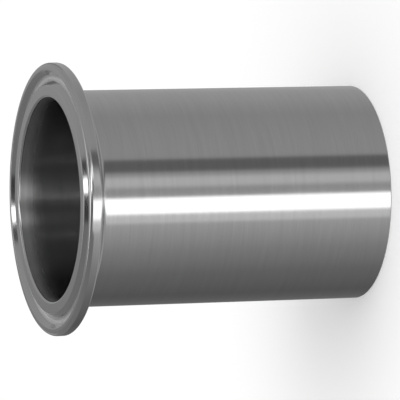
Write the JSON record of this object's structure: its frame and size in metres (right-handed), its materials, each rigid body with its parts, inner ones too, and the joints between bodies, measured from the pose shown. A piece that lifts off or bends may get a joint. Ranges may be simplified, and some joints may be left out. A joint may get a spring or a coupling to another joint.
{
  "type": "sanitary clamp ferrule",
  "caption": "Long hygienic clamp ferrule: a thin stainless tube with a grooved clamp flange at one end and a plain weld end at the other.",
  "frame": {"origin": "centre of the weld end's face, which is the base that the ferrule stands on", "axes": "+Z along the tube's axis from the weld end to the clamp flange's sealing face; the piece is round, so X and Y are any two directions across it"},
  "size_m": [0.064, 0.064, 0.0762],
  "materials": {
    "stainless": "polished stainless steel with fine turning lines round the axis"
  },
  "bodies": {
    "root": {"clamp_ferrule": "stainless"}
  },
  "joints": []
}
